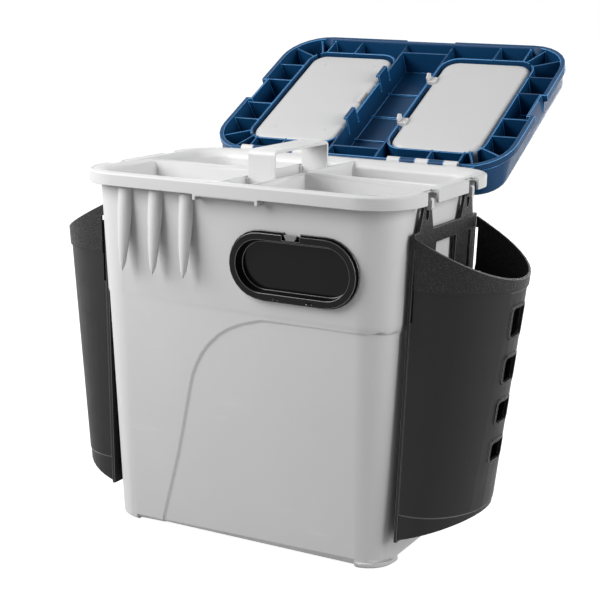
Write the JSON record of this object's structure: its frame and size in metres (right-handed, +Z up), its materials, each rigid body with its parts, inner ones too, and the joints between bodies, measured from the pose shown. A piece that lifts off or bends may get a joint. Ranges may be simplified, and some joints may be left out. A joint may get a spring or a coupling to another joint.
{
  "type": "fishing seat box",
  "caption": "Tapered plastic seat box with lift-out tray, ribbed hinged seat lid with two flaps, front hatch and hanging side pockets.",
  "frame": {"origin": "middle of the standing plane, at the pad in the middle of the tub's underside", "axes": "+Z up, -Y the front with the hatch, +X to the right of someone who faces the front"},
  "size_m": [0.555, 0.5272, 0.5289],
  "materials": {
    "tub": "fine satin grain, pale grey",
    "tray": "satin, light grey",
    "flap": "satin, light grey",
    "lid": "satin gloss, dark blue",
    "pocket": "fine grain, near black",
    "hatch": "glossy, black",
    "pin": "drawn wire"
  },
  "bodies": {
    "tub": {"tub": "tub", "lid_pin_right": "pin", "lid_pin_left": "pin", "hatch_frame": "hatch", "hatch_ring": "hatch", "hatch_tongue": "tub", "hatch_pin": "pin"},
    "tray": {"tray": "tray", "tray_handle": "tray"},
    "lid": {"lid": "lid", "flap_pin_right_front": "flap", "flap_pin_right_back": "flap", "flap_pin_left_front": "flap", "flap_pin_left_back": "flap"},
    "flap_right": {"flap_right": "flap", "flap_cover_right": "flap"},
    "flap_left": {"flap_left": "flap", "flap_cover_left": "flap"},
    "hatch_door": {"hatch_door": "hatch"},
    "pocket_right": {"pocket_right": "pocket", "pocket_frame_right": "pocket"},
    "pocket_left": {"pocket_left": "pocket", "pocket_frame_left": "pocket"}
  },
  "joints": [
    {"name": "lid_hinge", "type": "hinge", "parent": "tub", "child": "lid", "pos_m": [0, 0.1395, 0.4028], "axis": [-1, 0, 0], "range_deg": [-152.5, 0]},
    {"name": "flap_right_hinge", "type": "hinge", "parent": "lid", "child": "flap_right", "pos_m": [0.1476, 0.27419, 0.43751], "axis": [0, -0.887, -0.4617], "range_deg": [0, 100]},
    {"name": "flap_left_hinge", "type": "hinge", "parent": "lid", "child": "flap_left", "pos_m": [-0.1476, 0.27419, 0.43751], "axis": [0, 0.887, 0.4617], "range_deg": [0, 100]},
    {"name": "tray_lift", "type": "slide", "parent": "tub", "child": "tray", "axis": [0, 0, 1], "range_m": [0, 0.06]},
    {"name": "hatch_door_hinge", "type": "hinge", "parent": "tub", "child": "hatch_door", "pos_m": [0.072, -0.12128, 0.28456], "axis": [1, 0, 0], "range_deg": [0, 95]},
    {"name": "pocket_right_lift", "type": "slide", "parent": "tub", "child": "pocket_right", "axis": [0, 0, 1], "range_m": [0, 0.0055]},
    {"name": "pocket_left_lift", "type": "slide", "parent": "tub", "child": "pocket_left", "axis": [0, 0, 1], "range_m": [0, 0.0055]}
  ]
}
